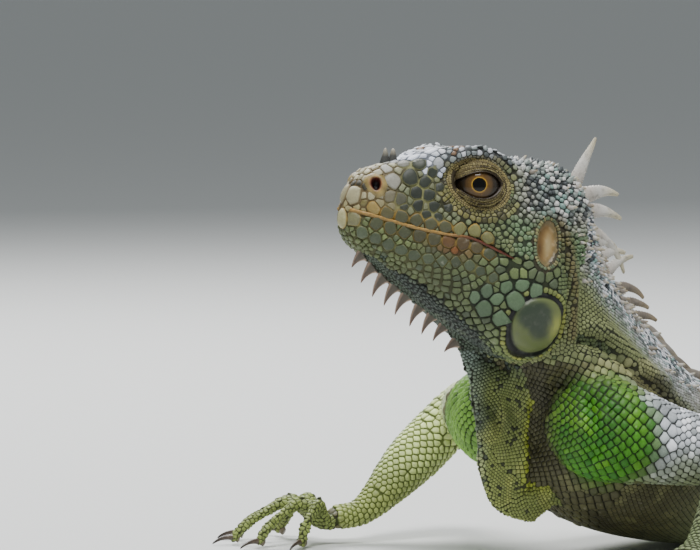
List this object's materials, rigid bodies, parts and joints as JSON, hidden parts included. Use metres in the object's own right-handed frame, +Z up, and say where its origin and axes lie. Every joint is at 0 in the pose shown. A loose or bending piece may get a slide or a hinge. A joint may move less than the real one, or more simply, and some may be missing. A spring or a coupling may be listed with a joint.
{
  "type": "green iguana model",
  "caption": "Life-size large lizard resting on its belly, head and neck raised, with a throat fan, a spiny crest along the back, splayed legs and a long curved tail.",
  "frame": {"origin": "on the floor under the middle of the whole animal's box, tail included", "axes": "-X the way the body faces, -Y the animal's left, +Z up; the head turns a little to the animal's right and the tail bends round to its left"},
  "size_m": [0.5474, 0.6206, 0.136],
  "materials": {
    "scaled_skin": "overlapping keratin scales on skin, satin",
    "eyeball": "wet, clear over an orange-brown iris",
    "eardrum": "thin taut membrane, slightly glossy",
    "cheek_shield": "one large smooth domed scale"
  },
  "bodies": {
    "root": {"head": "scaled_skin", "lower_jaw": "scaled_skin", "throat_fan": "scaled_skin", "neck": "scaled_skin", "chest": "scaled_skin", "belly": "scaled_skin", "tail_1": "scaled_skin", "tail_2": "scaled_skin", "tail_3": "scaled_skin", "tail_4": "scaled_skin", "tail_5": "scaled_skin", "upper_arm_left": "scaled_skin", "upper_arm_right": "scaled_skin", "forearm_left": "scaled_skin", "forearm_right": "scaled_skin", "hand_left": "scaled_skin", "hand_right": "scaled_skin", "thigh_left": "scaled_skin", "thigh_right": "scaled_skin", "shank_left": "scaled_skin", "shank_right": "scaled_skin", "foot_left": "scaled_skin", "foot_right": "scaled_skin", "eye_left": "eyeball", "eye_right": "eyeball", "ear_left": "eardrum", "ear_right": "eardrum", "cheek_shield_left": "cheek_shield", "cheek_shield_right": "cheek_shield"}
  },
  "joints": []
}
